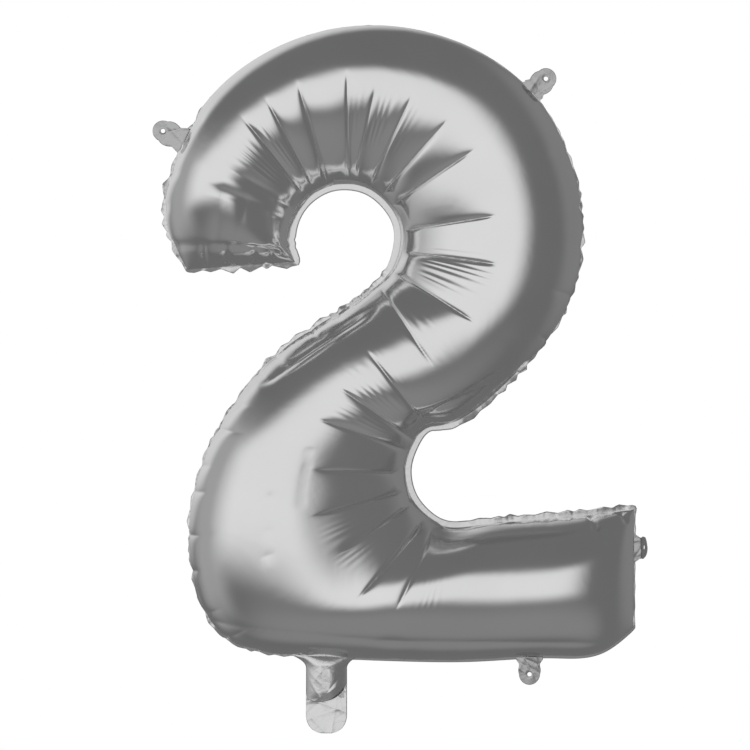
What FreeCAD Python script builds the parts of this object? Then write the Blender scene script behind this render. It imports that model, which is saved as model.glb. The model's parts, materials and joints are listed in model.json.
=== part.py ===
import FreeCAD, Part
import math
import os

from FreeCAD import Placement, Rotation, Vector

# Foil number balloon in the shape of a "2", inflated, millimetres, +Z up, front towards -Y.
# The two foil panels are welded round their rim in the plane Y = 0.
# The origin is the centre of the hanging hole at the top right of the numeral.

doc = FreeCAD.newDocument("foil_number_balloon")

# ---------------------------------------------------------------- driving dimensions

DRIVING = [
    ("film_wall", 1.0),           # panel wall: stands for a 0.04 mm foil
    ("layer", 0.8),               # flange, tab, neck and valve layers
    ("flange_width", 10.0),       # welded rim outside the inflated tube
    ("tube_half_depth", 85.0),    # the tube from the seam plane to its crown
    ("seam_lens", 2.5),           # half depth of the tube where its closed ends meet the seam
    ("pillow_length", 85.0),      # length over which a closed end swells to full depth
    ("eye_radius", 74.0),         # seam round the bay that the hook encloses
    ("foot_radius", 76.0),        # seam round the bay above the bar
    ("bowl_radius", 277.0),       # seam round the outside of the bowl
    ("tab_radius", 14.0),         # round end of a hanging tab, and half its width
    ("tab_hole_radius", 3.0),
    ("tab_root_gap", 0.6),        # from a tab's fold line to the flange, and to the tab
    ("tab_stored_fold", 65.0),    # how far the end tab is folded back, degrees
    ("neck_half_width", 27.5),
    ("neck_length", 88.0),        # back foil of the neck, below its root
    ("neck_end_radius", 20.0),
    ("neck_root_gap", 2.6),       # from the neck's fold line to the collar, and to the neck
    ("neck_rise", 8.0),           # how far the front foil of the neck stands open
    ("lip_radius", 37.0),         # curved lip of the front foil
    ("lip_drop", 44.0),           # lowest point of the lip, below the neck's root
    ("weld_width", 4.0),
    ("valve_length", 260.0),
    ("valve_half_width", 23.5),
    ("valve_gap", 0.4),           # between the two valve films
    ("collar_half_depth", 1.8),   # foil and valve films welded into one where they pass the seam
]

sheet = doc.addObject("Spreadsheet::Sheet", "Dimensions")
for row, (alias, value) in enumerate(DRIVING, start=1):
    sheet.set("A%d" % row, alias)
    sheet.set("B%d" % row, str(value))
    sheet.setAlias("B%d" % row, alias)
doc.recompute()


def dim(alias):
    return float(sheet.get(alias))


# ---------------------------------------------------------------- the seam outline
# The numeral is one bent tube. Each station is a cross-section: its seam point on the
# left or inner side, its seam point on the right or outer side, and its share of the depth.

EYE_CENTRE = Vector(-269, 0, -215)
BOWL_CENTRE = Vector(-229, 0, -206)
FOOT_CENTRE = Vector(-112, 0, -527)


def on_circle(centre, radius, degrees):
    angle = math.radians(degrees)
    return centre + Vector(radius * math.cos(angle), 0, radius * math.sin(angle))


def eye(degrees):
    return on_circle(EYE_CENTRE, dim("eye_radius"), degrees)


def foot(degrees):
    return on_circle(FOOT_CENTRE, dim("foot_radius"), degrees)


def bowl(degrees, grow=0.0):
    return on_circle(BOWL_CENTRE, dim("bowl_radius") + grow, degrees)


def flat_point(x, z):
    return Vector(x, 0, z)


STATIONS = [
    (eye(205), flat_point(-480, -256), 1.0),
    (eye(190), flat_point(-503, -214), 1.0),
    (eye(170), flat_point(-510, -162), 1.0),
    (eye(150), bowl(160, 7), 1.0),
    (eye(120), bowl(137, 5), 1.0),
    (eye(90), bowl(102), 1.0),
    (eye(60), bowl(68), 1.0),
    (eye(30), bowl(39, 4), 0.98),
    (eye(0), bowl(5, 1), 0.96),
    (eye(-30), bowl(-24, -4), 0.96),
    (flat_point(-225, -276), bowl(-47, -10), 0.97),
    (flat_point(-289, -320), flat_point(-126, -461), 1.0),
    (flat_point(-349, -360), foot(125), 1.0),
    (flat_point(-413, -431), foot(149), 1.03),
    (flat_point(-455, -505), foot(172), 1.06),
    (flat_point(-476, -592), foot(192), 1.08),
    (flat_point(-468, -680), foot(212), 1.08),
    (flat_point(-433, -746), foot(232), 1.05),
    (flat_point(-329, -772), foot(256), 1.0),
    (flat_point(-209, -777), flat_point(-88, -598), 0.95),
    (flat_point(-102, -778), flat_point(-35, -593), 0.92),
    (flat_point(12, -773), flat_point(46, -586), 0.92),
    (flat_point(76, -766), flat_point(91, -581), 0.92),
    (flat_point(117, -735), flat_point(118, -577), 0.92),
]

END_SECTIONS = 7      # sections over the swelling length of each closed end
BODY_SECTIONS = 56    # sections over the rest of the tube
ARC_STEPS = 14        # points across each half section
CUBIC = 3
FRONT = -1
BACK = 1


def between(first, second, share):
    return first + (second - first) * share


def rail(points, places):
    curve = Part.BSplineCurve()
    curve.interpolate(Points=points, Parameters=places)
    return curve


def station_places():
    """Each station's distance along the tube's centre line."""
    centres = [between(left, right, 0.5) for left, right, share in STATIONS]
    places = [0.0]
    for first, second in zip(centres, centres[1:]):
        places.append(places[-1] + (second - first).Length)
    return places


PLACES = station_places()
LEFT_RAIL = rail([station[0] for station in STATIONS], PLACES)
RIGHT_RAIL = rail([station[1] for station in STATIONS], PLACES)
DEPTH_RAIL = rail([Vector(station[2], place, 0) for station, place in zip(STATIONS, PLACES)], PLACES)
TUBE_LENGTH = PLACES[-1]


def section_stops():
    """Distances along the tube at which sections are drawn, closer together at its ends."""
    swell = dim("pillow_length")
    near_end = [swell * (1 - math.cos(math.pi / 2 * k / END_SECTIONS)) for k in range(END_SECTIONS)]
    span = TUBE_LENGTH - 2 * swell
    middle = [swell + span * k / BODY_SECTIONS for k in range(BODY_SECTIONS + 1)]
    return near_end + middle + [TUBE_LENGTH - place for place in reversed(near_end)]


def tube_sections(inset):
    """Sections along the tube: left seam point, right seam point and half depth.

    For the inner skin the sections start and stop short of the closed ends by the inset.
    """
    swell = dim("pillow_length")
    sections = []
    for stop in section_stops():
        place = inset + stop * (TUBE_LENGTH - 2 * inset) / TUBE_LENGTH
        from_end = min(stop, TUBE_LENGTH - stop, swell)
        fullness = math.sqrt(1 - (1 - from_end / swell) ** 2)
        depth = dim("tube_half_depth") * DEPTH_RAIL.value(place).x * fullness
        sections.append((LEFT_RAIL.value(place), RIGHT_RAIL.value(place), max(depth, dim("seam_lens"))))
    return sections


# ---------------------------------------------------------------- document helpers

def new_object(kind, name, **expressions):
    made = doc.addObject(kind, name)
    for prop, expression in expressions.items():
        made.setExpression(prop, expression)
    return made


def boolean(kind, name, base, tool):
    made = doc.addObject(kind, name)
    made.Base = base
    made.Tool = tool
    return made


def fused(name, shapes):
    made = doc.addObject("Part::MultiFuse", name)
    made.Shapes = shapes
    return made


def box(name, length, width, height, centre, turn=None):
    """A box about a centre; length, width and height are expressions, in mm."""
    made = new_object("Part::Box", name, Length=length, Width=width, Height=height)
    made.recompute()
    half = Vector(made.Length.Value / 2, made.Width.Value / 2, made.Height.Value / 2)
    spin = turn or Rotation()
    made.Placement = Placement(centre - spin.multVec(half), spin)
    return made


def cylinder(name, radius, height, centre, turn):
    """A cylinder about a centre; its axis is the turned Z axis."""
    made = new_object("Part::Cylinder", name, Radius=radius, Height=height)
    made.recompute()
    half = Vector(0, 0, made.Height.Value / 2)
    made.Placement = Placement(centre - turn.multVec(half), turn)
    return made


ALONG_Y = Rotation(Vector(1, 0, 0), -90)
UPRIGHT = Rotation()

# ---------------------------------------------------------------- the inflated envelope

def half_section(section, side, inset):
    """Points along half an ellipse across the tube, from one seam point to the other."""
    left, right, depth = section
    across = right - left
    along = Vector(across).normalize() * (across.Length / 2 - inset)
    outwards = Vector(0, side * (depth - inset), 0)
    middle = between(left, right, 0.5)
    points = []
    for step in range(ARC_STEPS + 1):
        angle = math.pi * step / ARC_STEPS
        points.append(middle - along * math.cos(angle) + outwards * math.sin(angle))
    return points


def clamped_knots(poles):
    """Knots and multiplicities of a cubic spline that starts and ends on its end poles."""
    inner = poles - CUBIC - 1
    mults = [CUBIC + 1] + [1] * inner + [CUBIC + 1]
    return list(range(inner + 2)), mults


def smooth_surface(rows):
    """A cubic surface drawn by a grid of poles."""
    across_knots, across_mults = clamped_knots(len(rows))
    along_knots, along_mults = clamped_knots(len(rows[0]))
    surface = Part.BSplineSurface()
    surface.buildFromPolesMultsKnots(
        rows, across_mults, along_mults, across_knots, along_knots, False, False, CUBIC, CUBIC
    )
    return surface.toShape()


def smooth_curve(poles):
    """A cubic curve drawn by its poles."""
    knots, mults = clamped_knots(len(poles))
    curve = Part.BSplineCurve()
    curve.buildFromPolesMultsKnots(poles, mults, knots, False, CUBIC)
    return curve.toShape()


def is_flat(edge):
    return edge.BoundBox.YLength < 0.01


def skin_and_rim(side, inset):
    """The curved skin on one side, its flat end caps, and the rim wire in the seam plane."""
    skin = smooth_surface([half_section(section, side, inset) for section in tube_sections(inset)])
    rim = [edge for edge in skin.Edges if is_flat(edge)]
    ends = [edge for edge in skin.Edges if not is_flat(edge)]
    chords = [Part.LineSegment(*(v.Point for v in edge.Vertexes)).toShape() for edge in ends]
    caps = [Part.Face(Part.Wire(Part.sortEdges([a, b])[0])) for a, b in zip(ends, chords)]
    return [skin] + caps, Part.Wire(Part.sortEdges(rim + chords)[0])


def closed_solid(faces):
    skin = Part.makeCompound(faces)
    skin.sewShape()
    solid = Part.Solid(skin.Shells[0])
    if solid.Volume < 0:
        solid.reverse()
    return solid


def feature(name, shape):
    made = doc.addObject("Part::Feature", name)
    made.Shape = shape
    return made


def full_form(name, side):
    """The whole tube on one side of the seam plane, as a solid to cut with."""
    faces, rim = skin_and_rim(side, 0.0)
    return feature(name, closed_solid(faces + [Part.Face(rim)]))


def half_shell(name, side):
    """One panel: the outer skin and the inner skin, joined by a flat strip along the seam."""
    outer_faces, outer_rim = skin_and_rim(side, 0.0)
    inner_faces, inner_rim = skin_and_rim(side, dim("film_wall"))
    seam_strip = Part.Face(outer_rim).cut(Part.Face(inner_rim))
    return feature(name, closed_solid(outer_faces + inner_faces + seam_strip.Faces))


front_outer = full_form("front_outer_form", FRONT)
back_outer = full_form("back_outer_form", BACK)
half_shell("front_panel", FRONT)
half_shell("back_panel", BACK)

# ---------------------------------------------------------------- the neck's place on the seam

NECK_X = -294.0
NECK_SEAM_Z = -773.5      # height of the seam above the neck
COLLAR_REACH = 2.0        # how far the collar reaches past the seam before it is trimmed

ROOT_GAP = dim("neck_root_gap")
COLLAR_END_Z = NECK_SEAM_Z - dim("flange_width")
FOLD_Z = COLLAR_END_Z - ROOT_GAP
ROOT_Z = FOLD_Z - ROOT_GAP
VALVE_HALF_DEPTH = dim("layer") + dim("valve_gap") / 2


def upright_box(name, length, width, height, x, y, top_z):
    """A box centred on x and y that hangs down from top_z."""
    made = box(name, length, width, height, Vector(x, y, top_z))
    made.Placement.move(Vector(0, 0, -made.Height.Value / 2))
    return made


# ---------------------------------------------------------------- hanging tabs
# Each tab: its name, its hole's centre when the tab lies in the seam plane, the direction
# that it points in degrees from +X towards +Z, and how far the hole is from the fold line.

TABS = [
    ("hanging_tab_top_right", flat_point(0, 0), 42.0, 17.0, False),
    ("hanging_tab_top_left", flat_point(-513, -70), 154.5, 20.0, False),
    ("hanging_tab_bottom", flat_point(-22, -798), -90.0, 12.0, False),
    ("hanging_tab_right_end", flat_point(140.3, -629), 0.0, 12.0, True),
]

SEAM_NORMAL = Vector(0, 1, 0)
CUTTER_LENGTH = 30.0
CUTTER_DEPTH = 10.0


def tab_frame(hole, degrees, reach):
    """Origin on the fold line; local X points outwards and local Y is the seam's normal."""
    outwards = on_circle(Vector(), 1.0, degrees)
    turn = Rotation(outwards, SEAM_NORMAL, outwards.cross(SEAM_NORMAL), "XYZ")
    return Placement(hole - outwards * reach, turn)


def place_in(frame, made):
    made.Placement = frame.multiply(made.Placement)
    return made


def make_tab(name, hole, degrees, reach, stored_folded):
    """Makes a tab and returns the box that trims the flange straight along its fold."""
    gap = dim("tab_root_gap")
    flat_frame = tab_frame(hole, degrees, reach)
    frame = flat_frame
    if stored_folded:
        fold = Placement(Vector(), Rotation(Vector(0, 0, 1), dim("tab_stored_fold")))
        frame = flat_frame.multiply(fold)

    root = box(
        name + "_root",
        "%.1f - Dimensions.tab_root_gap" % reach,
        "Dimensions.layer",
        "Dimensions.tab_radius * 2",
        Vector((reach + gap) / 2, 0, 0),
    )
    ring = cylinder(name + "_end", "Dimensions.tab_radius", "Dimensions.layer", Vector(reach, 0, 0), ALONG_Y)
    hole_tool = cylinder(
        name + "_hole", "Dimensions.tab_hole_radius", "Dimensions.layer * 3", Vector(reach, 0, 0), ALONG_Y
    )
    behind = box(
        name + "_behind",
        "%.1f" % CUTTER_LENGTH,
        "%.1f" % CUTTER_DEPTH,
        "Dimensions.tab_radius * 3",
        Vector(gap - CUTTER_LENGTH / 2, 0, 0),
    )
    flange_cutter = box(
        name + "_flange_trim",
        "%.1f" % CUTTER_LENGTH,
        "%.1f" % CUTTER_DEPTH,
        "Dimensions.tab_radius * 2.4",
        Vector(CUTTER_LENGTH / 2 - gap, 0, 0),
    )
    for made in (root, ring, hole_tool, behind):
        place_in(frame, made)
    place_in(flat_frame, flange_cutter)

    blank = boolean("Part::Fuse", name + "_blank", root, ring)
    trimmed = boolean("Part::Cut", name + "_trimmed", blank, behind)
    boolean("Part::Cut", name, trimmed, hole_tool)
    return flange_cutter


flange_trims = [make_tab(*tab) for tab in TABS]

# ---------------------------------------------------------------- flange round the seam


def offset_point(curve, place, away_from):
    """A point of a seam rail moved out by the flange's width, away from the other rail."""
    along = curve.tangent(place)[0]
    outwards = Vector(-along.z, 0, along.x)
    point = curve.value(place)
    if outwards.dot(point - away_from.value(place)) < 0:
        outwards = outwards * -1
    return point + outwards * dim("flange_width")


def offset_rail(curve, other):
    return smooth_curve([offset_point(curve, place, other) for place in section_stops()])


def rounded_end(place, inwards):
    """The flange round one closed end of the tube: an arc, a straight run and an arc."""
    width = dim("flange_width")
    left, right = LEFT_RAIL.value(place), RIGHT_RAIL.value(place)
    chord = (right - left).normalize()
    outwards = Vector(-chord.z, 0, chord.x)
    if outwards.dot(inwards) > 0:
        outwards = outwards * -1
    edges = [Part.LineSegment(left + outwards * width, right + outwards * width).toShape()]
    for corner, curve, other in ((left, LEFT_RAIL, RIGHT_RAIL), (right, RIGHT_RAIL, LEFT_RAIL)):
        start = offset_point(curve, place, other)
        middle = corner + ((start - corner).normalize() + outwards).normalize() * width
        edges.append(Part.Arc(start, middle, corner + outwards * width).toShape())
    return edges


def rim_outline():
    start_inwards = LEFT_RAIL.value(PLACES[1]) - LEFT_RAIL.value(0)
    end_inwards = LEFT_RAIL.value(PLACES[-2]) - LEFT_RAIL.value(TUBE_LENGTH)
    edges = [offset_rail(LEFT_RAIL, RIGHT_RAIL), offset_rail(RIGHT_RAIL, LEFT_RAIL)]
    edges += rounded_end(0, start_inwards) + rounded_end(TUBE_LENGTH, end_inwards)
    return Part.Face(Part.Wire(Part.sortEdges(edges)[0]))


def seam_face():
    """The flat area inside the seam, in the plane Y = 0."""
    floors = [face for face in front_outer.Shape.Faces if face.BoundBox.YLength < 0.01]
    return max(floors, key=lambda face: face.Area)


def layer_from(name, face, thickness):
    """A flat layer about the seam plane, extruded from a face that lies in it."""
    base = doc.addObject("Part::Feature", name + "_face")
    base.Shape = face
    made = doc.addObject("Part::Extrusion", name)
    made.Base = base
    made.DirMode = "Custom"
    made.Dir = SEAM_NORMAL
    made.Solid = True
    made.Symmetric = True
    made.setExpression("LengthFwd", thickness)
    return made


rim_area = layer_from("rim_area", rim_outline(), "Dimensions.layer")
inside_area = layer_from("inside_area", seam_face(), "Dimensions.layer")
flange_ring = boolean("Part::Cut", "flange_ring", rim_area, inside_area)

collar_block = upright_box(
    "collar_block",
    "Dimensions.neck_half_width * 2",
    "Dimensions.collar_half_depth * 2",
    "Dimensions.flange_width + %.1f" % COLLAR_REACH,
    NECK_X,
    0,
    NECK_SEAM_Z + COLLAR_REACH,
)
collar_front = boolean("Part::Cut", "collar_front", collar_block, front_outer)
collar = boolean("Part::Cut", "collar", collar_front, back_outer)
flange_and_collar = boolean("Part::Fuse", "flange_and_collar", flange_ring, collar)
flange_cutters = doc.addObject("Part::Compound", "flange_cutters")
flange_cutters.Links = flange_trims
boolean("Part::Cut", "perimeter_seam", flange_and_collar, flange_cutters)

# ---------------------------------------------------------------- the valve inside the tube

LAYER_CENTRE = (dim("layer") + dim("valve_gap")) / 2
SEAM_CLEARANCE = dim("film_wall") + 0.3
VALVE_TOP_Z = NECK_SEAM_Z + SEAM_CLEARANCE + dim("valve_length")
WELD_CENTRE = dim("valve_half_width") - dim("weld_width") / 2

for node, side in (("valve_front_film", FRONT), ("valve_back_film", BACK)):
    upright_box(
        node,
        "Dimensions.valve_half_width * 2",
        "Dimensions.layer",
        "Dimensions.valve_length",
        NECK_X,
        side * LAYER_CENTRE,
        VALVE_TOP_Z,
    )

valve_welds = []
for side, edge in ((-1, "left"), (1, "right")):
    weld = upright_box(
        "valve_weld_" + edge,
        "Dimensions.weld_width",
        "Dimensions.valve_gap",
        "Dimensions.valve_length",
        NECK_X + side * WELD_CENTRE,
        0,
        VALVE_TOP_Z,
    )
    valve_welds.append(weld)
fused_welds = doc.addObject("Part::Compound", "valve_side_welds")
fused_welds.Links = valve_welds

# ---------------------------------------------------------------- the filling neck

HALF_CHORD = dim("valve_half_width")
RISE = dim("neck_rise")
ARCH_RADIUS = (HALF_CHORD ** 2 + RISE ** 2) / (2 * RISE)
ARCH_AXIS_Y = ARCH_RADIUS - RISE - VALVE_HALF_DEPTH
FILM_CLEARANCE = 0.2
LIP_Z = ROOT_Z - dim("lip_drop")
LIP_CENTRE_X = NECK_X - 6.0
LIP_DEPTH = 40.0


def lip_disc(name):
    """The disc whose lower edge is the lip; an open layer is kept only inside it."""
    centre = Vector(LIP_CENTRE_X, -LIP_DEPTH / 2, LIP_Z + dim("lip_radius"))
    return cylinder(name, "Dimensions.lip_radius", "%.1f" % LIP_DEPTH, centre, ALONG_Y)


def arched_layer(name, outer_radius):
    """A layer curved about an upright axis behind it, from weld to weld, ending in the lip."""
    outer = upright_tube(name + "_outer", outer_radius)
    inner = upright_tube(name + "_inner", outer_radius - dim("layer"))
    bow = boolean("Part::Cut", name + "_bow", outer, inner)
    window = upright_box(
        name + "_window",
        "Dimensions.valve_half_width * 2",
        "%.1f" % LIP_DEPTH,
        "Dimensions.neck_length",
        NECK_X,
        -VALVE_HALF_DEPTH - LIP_DEPTH / 2,
        ROOT_Z,
    )
    open_layer = boolean("Part::Common", name + "_open", bow, window)
    boolean("Part::Common", name, open_layer, lip_disc(name + "_lip"))


def upright_tube(name, radius):
    height = "Dimensions.neck_length * 2"
    return cylinder(name, "%.4f" % radius, height, Vector(NECK_X, ARCH_AXIS_Y, ROOT_Z), UPRIGHT)


arched_layer("neck_front_foil", ARCH_RADIUS + dim("layer"))
arched_layer("valve_mouth_front_film", ARCH_RADIUS - FILM_CLEARANCE)

upright_box(
    "valve_mouth_back_film",
    "Dimensions.valve_half_width * 2",
    "Dimensions.layer",
    "Dimensions.lip_drop - 3",
    NECK_X,
    LAYER_CENTRE,
    ROOT_Z,
)

BACK_FOIL_Y = VALVE_HALF_DEPTH + dim("layer") / 2
END_RADIUS = dim("neck_end_radius")
END_CENTRE_Z = ROOT_Z - dim("neck_length") + END_RADIUS
upper_foil = upright_box(
    "neck_back_upper",
    "Dimensions.neck_half_width * 2",
    "Dimensions.layer",
    "Dimensions.neck_length - Dimensions.neck_end_radius",
    NECK_X,
    BACK_FOIL_Y,
    ROOT_Z,
)
lower_foil = upright_box(
    "neck_back_lower",
    "(Dimensions.neck_half_width - Dimensions.neck_end_radius) * 2",
    "Dimensions.layer",
    "Dimensions.neck_length",
    NECK_X,
    BACK_FOIL_Y,
    ROOT_Z,
)
end_corners = []
for side, edge in ((-1, "left"), (1, "right")):
    centre = Vector(NECK_X + side * (dim("neck_half_width") - END_RADIUS), BACK_FOIL_Y, END_CENTRE_Z)
    corner = cylinder(
        "neck_back_corner_" + edge, "Dimensions.neck_end_radius", "Dimensions.layer", centre, ALONG_Y
    )
    end_corners.append(corner)
fused("neck_back_foil", [upper_foil, lower_foil] + end_corners)

neck_welds = []
for side, edge in ((-1, "left"), (1, "right")):
    weld = upright_box(
        "neck_weld_" + edge,
        "Dimensions.weld_width",
        "Dimensions.layer * 3 + Dimensions.valve_gap",
        "Dimensions.lip_drop * 0.5",
        NECK_X + side * (dim("neck_half_width") - dim("weld_width") / 2),
        -dim("layer") / 2,
        ROOT_Z,
    )
    neck_welds.append(weld)
neck_side_welds = doc.addObject("Part::Compound", "neck_side_welds")
neck_side_welds.Links = neck_welds

# ---------------------------------------------------------------- check and write the nodes

NODES = [
    "front_panel",
    "back_panel",
    "perimeter_seam",
    "valve_front_film",
    "valve_back_film",
    "valve_side_welds",
    "neck_front_foil",
    "neck_back_foil",
    "neck_side_welds",
    "valve_mouth_front_film",
    "valve_mouth_back_film",
] + [tab[0] for tab in TABS]

doc.recompute()

for made in doc.Objects:
    if "Invalid" in made.State or "Error" in made.State:
        raise RuntimeError("%s is %s" % (made.Label, made.State))

for node in NODES:
    shape = doc.getObject(node).Shape
    if shape.isNull() or not shape.isValid():
        raise RuntimeError("%s has no valid shape" % node)

os.makedirs("parts", exist_ok=True)
for node in NODES:
    made = doc.getObject(node)
    made.Label = node
    made.Shape.exportStep("parts/%s.step" % node)
    print("%-26s solids %d  volume %.1f mm3" % (node, len(made.Shape.Solids), made.Shape.Volume))
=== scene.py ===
import json
import math

import bpy
import numpy as np
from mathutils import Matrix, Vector


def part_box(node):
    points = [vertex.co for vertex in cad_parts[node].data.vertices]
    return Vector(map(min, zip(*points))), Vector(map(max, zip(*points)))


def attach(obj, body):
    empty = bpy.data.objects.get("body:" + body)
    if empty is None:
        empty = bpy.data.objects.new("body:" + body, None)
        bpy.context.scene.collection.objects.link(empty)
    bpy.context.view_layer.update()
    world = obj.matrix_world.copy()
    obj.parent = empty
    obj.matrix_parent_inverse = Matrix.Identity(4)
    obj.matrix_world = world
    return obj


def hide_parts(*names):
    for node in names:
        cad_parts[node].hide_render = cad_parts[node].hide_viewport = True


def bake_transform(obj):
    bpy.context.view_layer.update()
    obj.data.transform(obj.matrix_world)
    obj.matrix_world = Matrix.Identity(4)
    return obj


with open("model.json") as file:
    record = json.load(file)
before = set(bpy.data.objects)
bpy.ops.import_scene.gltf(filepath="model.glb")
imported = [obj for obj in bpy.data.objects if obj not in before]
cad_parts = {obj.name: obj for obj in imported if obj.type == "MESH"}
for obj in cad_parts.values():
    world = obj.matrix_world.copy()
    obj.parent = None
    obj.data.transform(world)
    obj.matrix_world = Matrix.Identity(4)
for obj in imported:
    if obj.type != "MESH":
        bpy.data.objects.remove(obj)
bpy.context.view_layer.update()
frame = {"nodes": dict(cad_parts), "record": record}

MM = 0.001

# ------------------------------------------------------------------ the frame's places

FRONT = -1
BACK = 1
joints = {joint["name"]: joint for joint in frame["record"]["behaviour"]["joints"]}
mounts = {mount["name"]: mount for mount in frame["record"]["mounts"]}
NECK_LOW, NECK_HIGH = (np.array(corner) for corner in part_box("neck_back_foil"))
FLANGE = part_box("front_panel")[0][2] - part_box("perimeter_seam")[0][2]      # the rim's width below the panels
NECK_FOLD = np.array(joints["neck_bend"]["pos_m"])

# ------------------------------------------------------------------ the seam outline (as in the CAD)

EYE_CENTRE = np.array([-0.269, -0.215])
BOWL_CENTRE = np.array([-0.229, -0.206])
FOOT_CENTRE = np.array([-0.112, -0.527])
EYE_RADIUS = 0.074
FOOT_RADIUS = 0.076
BOWL_RADIUS = 0.277
HALF_DEPTH = 0.085
SWELL = 0.135          # length over which a closed end swells to full depth
END_ROUNDNESS = 2.5    # 2 would make a closed end elliptical, and more makes it blunter


def on_circle(centre, radius, degrees):
    angle = math.radians(degrees)
    return centre + radius * np.array([math.cos(angle), math.sin(angle)])


def eye(degrees):
    return on_circle(EYE_CENTRE, EYE_RADIUS, degrees)


def foot(degrees):
    return on_circle(FOOT_CENTRE, FOOT_RADIUS, degrees)


def bowl(degrees, grow=0.0):
    return on_circle(BOWL_CENTRE, BOWL_RADIUS + grow, degrees)


def spot(x, z):
    return np.array([x, z])


# Along the tube from the hook's end to the bar's end: the seam's point on the left, its point on the
# right, and the depth there as a share of HALF_DEPTH.
STATIONS = [
    (eye(205), spot(-0.480, -0.256), 1.00),
    (eye(190), spot(-0.503, -0.214), 1.00),
    (eye(170), spot(-0.510, -0.162), 1.00),
    (eye(150), bowl(160, 0.007), 1.00),
    (eye(120), bowl(137, 0.005), 1.00),
    (eye(90), bowl(102), 1.00),
    (eye(60), bowl(68), 1.00),
    (eye(30), bowl(39, 0.004), 0.98),
    (eye(0), bowl(5, 0.001), 0.96),
    (eye(-30), bowl(-24, -0.004), 0.96),
    (spot(-0.225, -0.276), bowl(-47, -0.010), 0.97),
    (spot(-0.289, -0.320), spot(-0.126, -0.461), 1.00),
    (spot(-0.349, -0.360), foot(125), 1.00),
    (spot(-0.413, -0.431), foot(149), 1.03),
    (spot(-0.455, -0.505), foot(172), 1.06),
    (spot(-0.476, -0.592), foot(192), 1.08),
    (spot(-0.468, -0.680), foot(212), 1.08),
    (spot(-0.433, -0.746), foot(232), 1.05),
    (spot(-0.329, -0.772), foot(256), 1.00),
    (spot(-0.209, -0.777), spot(-0.088, -0.598), 0.95),
    (spot(-0.102, -0.778), spot(-0.035, -0.593), 0.92),
    (spot(0.012, -0.773), spot(0.046, -0.586), 0.92),
    (spot(0.076, -0.766), spot(0.091, -0.581), 0.92),
    (spot(0.117, -0.735), spot(0.118, -0.577), 0.92),
]


def natural_spline(places, values):
    """A natural cubic spline through values at places; returns a function of place."""
    places = np.asarray(places, float)
    values = np.asarray(values, float)
    steps = np.diff(places)
    count = len(places)
    system = np.eye(count)
    right = np.zeros((count, values.shape[1]))
    for i in range(1, count - 1):
        system[i, i - 1] = steps[i - 1]
        system[i, i] = 2 * (steps[i - 1] + steps[i])
        system[i, i + 1] = steps[i]
        slope_after = (values[i + 1] - values[i]) / steps[i]
        slope_before = (values[i] - values[i - 1]) / steps[i - 1]
        right[i] = 6 * (slope_after - slope_before)
    bend = np.linalg.solve(system, right)

    def at(where):
        where = np.atleast_1d(where)
        i = np.clip(np.searchsorted(places, where, side="right") - 1, 0, count - 2)
        step = steps[i][:, None]
        before = ((places[i + 1] - where) / steps[i])[:, None]
        after = ((where - places[i]) / steps[i])[:, None]
        curve = ((before ** 3 - before) * bend[i] + (after ** 3 - after) * bend[i + 1]) * step ** 2 / 6
        return before * values[i] + after * values[i + 1] + curve

    return at


LEFT_POINTS = np.array([station[0] for station in STATIONS])
RIGHT_POINTS = np.array([station[1] for station in STATIONS])
CENTRE_POINTS = (LEFT_POINTS + RIGHT_POINTS) / 2
PLACES = np.concatenate([[0.0], np.cumsum(np.linalg.norm(np.diff(CENTRE_POINTS, axis=0), axis=1))])
TUBE_LENGTH = PLACES[-1]
left_rail = natural_spline(PLACES, LEFT_POINTS)
right_rail = natural_spline(PLACES, RIGHT_POINTS)
depth_rail = natural_spline(PLACES, [[station[2]] for station in STATIONS])

# ------------------------------------------------------------------ mesh helpers


def new_mesh_object(name, vertices, faces, smooth=True):
    mesh = bpy.data.meshes.new(name)
    mesh.from_pydata(np.asarray(vertices, float).tolist(), [], [list(map(int, face)) for face in faces])
    mesh.update()
    piece = bpy.data.objects.new(name, mesh)
    bpy.context.scene.collection.objects.link(piece)
    if smooth:
        mesh.polygons.foreach_set("use_smooth", [True] * len(mesh.polygons))
    return piece


def grid_faces(ids, flip=False):
    quads = np.stack([ids[:-1, :-1], ids[1:, :-1], ids[1:, 1:], ids[:-1, 1:]], -1).reshape(-1, 4)
    return quads[:, ::-1] if flip else quads


def smoothstep(low, high, value):
    share = np.clip((value - low) / (high - low), 0, 1)
    return share * share * (3 - 2 * share)


def between(value, start, full, fading, end):
    """Rises from 0 to 1 between start and full, and falls back to 0 between fading and end."""
    return smoothstep(start, full, value) * (1 - smoothstep(fading, end, value))


# ------------------------------------------------------------------ the inflated foil

ROWS = 1300      # along the tube
COLUMNS = 75      # across each panel
END_ROWS = 40           # of the rows, how many lie over each closed end, where the foil turns quickly
SIM_ROWS = 230          # rows and columns of the coarse grid that is settled as cloth
SIM_COLUMNS = 34
CROWN_LEAN = 0.20
HOOK_BEND = (0.02, 0.12, 0.66, 0.84)    # places along the tube: the lean starts, is full, fades, ends
HEEL_BEND = (0.86, 1.00, 1.18, 1.34)


def row_places(count):
    """Places along the tube, closer together at its closed ends."""
    near = SWELL * (1 - np.cos(np.linspace(0, math.pi / 2, END_ROWS, endpoint=False)))
    middle = np.linspace(SWELL, TUBE_LENGTH - SWELL, count - 2 * END_ROWS)
    return np.concatenate([near, middle, (TUBE_LENGTH - near)[::-1]])


def crown_skew(places):
    """How far the tube's crown leans to the outside of a bend, away from the gathered foil."""
    return CROWN_LEAN * (between(places, *HOOK_BEND) - between(places, *HEEL_BEND))


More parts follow.
